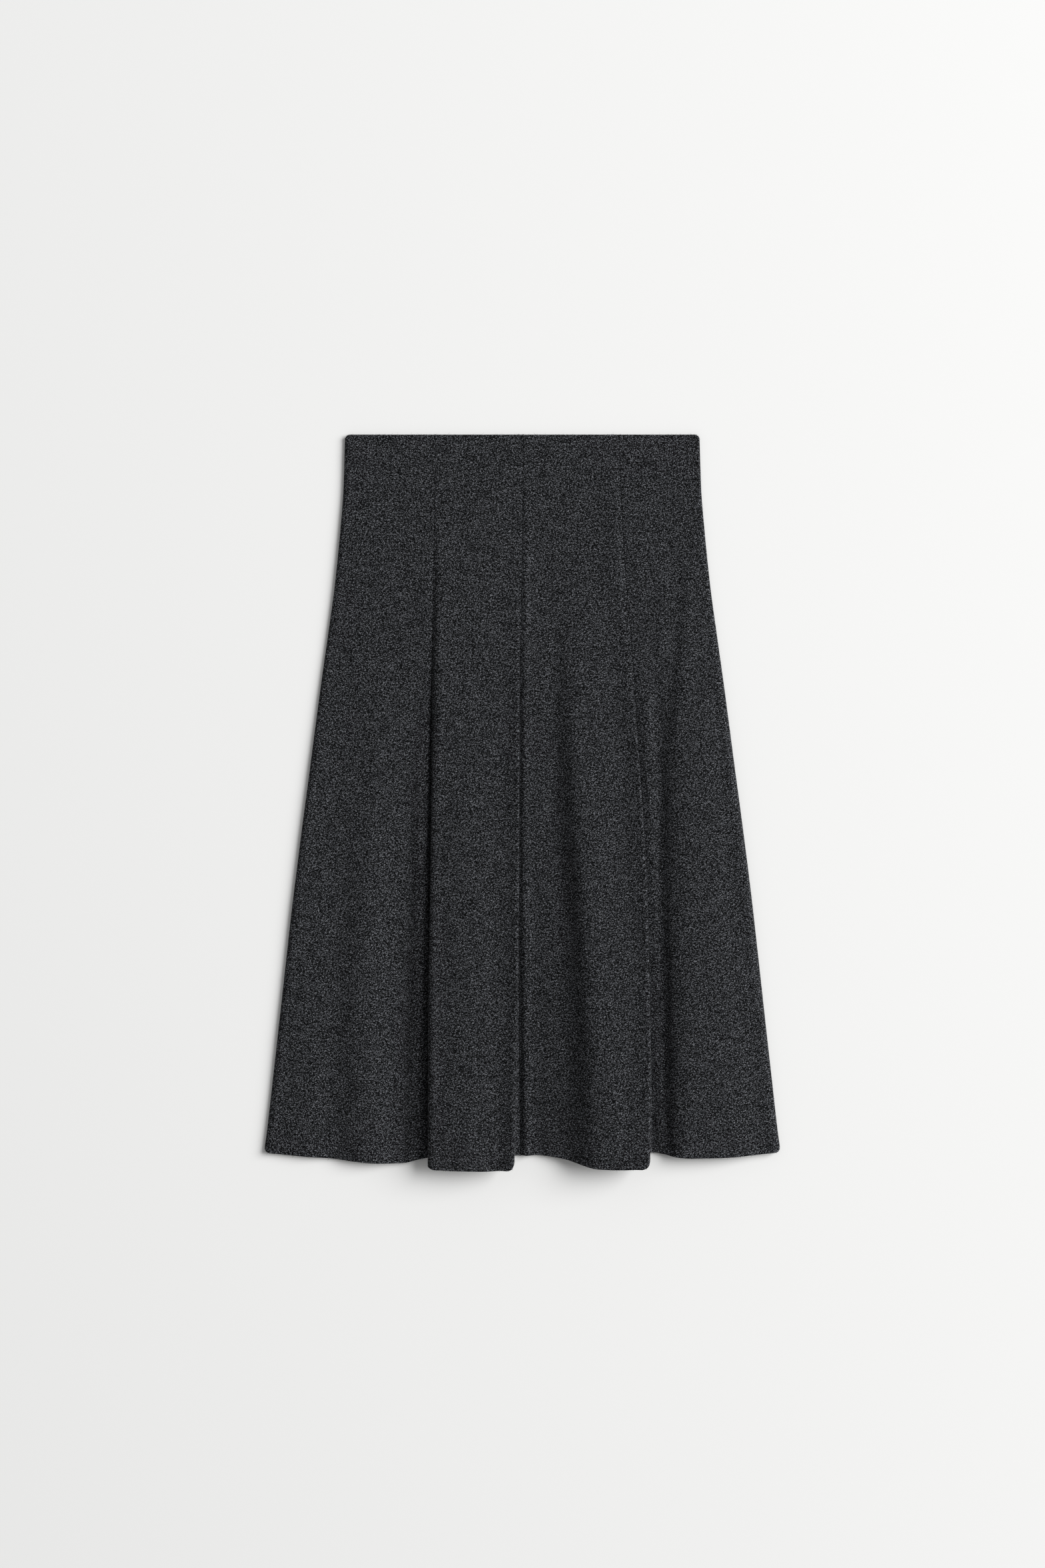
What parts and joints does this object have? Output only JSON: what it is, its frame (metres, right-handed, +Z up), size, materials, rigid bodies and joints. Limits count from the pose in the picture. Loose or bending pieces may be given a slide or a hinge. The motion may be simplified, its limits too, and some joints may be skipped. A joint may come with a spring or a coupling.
{
  "type": "flared midi skirt",
  "caption": "Flared midi skirt of felted wool jersey, laid flat with its front up, cut in gores that fall in soft flutes from a fitted top to the hem.",
  "frame": {"origin": "under the middle of the skirt, on the surface that it lies on", "axes": "+Z up out of the front of the skirt, +Y towards the waist, +X to the right as seen from above with the waist at the top"},
  "size_m": [0.523, 0.7449, 0.029],
  "materials": {
    "wool_jersey": "matt felted melange, dark charcoal"
  },
  "bodies": {
    "root": {"front_side_left": "wool_jersey", "front_centre_left": "wool_jersey", "front_centre_right": "wool_jersey", "front_side_right": "wool_jersey", "back_side_left": "wool_jersey", "back_centre_left": "wool_jersey", "back_centre_right": "wool_jersey", "back_side_right": "wool_jersey"}
  },
  "joints": []
}
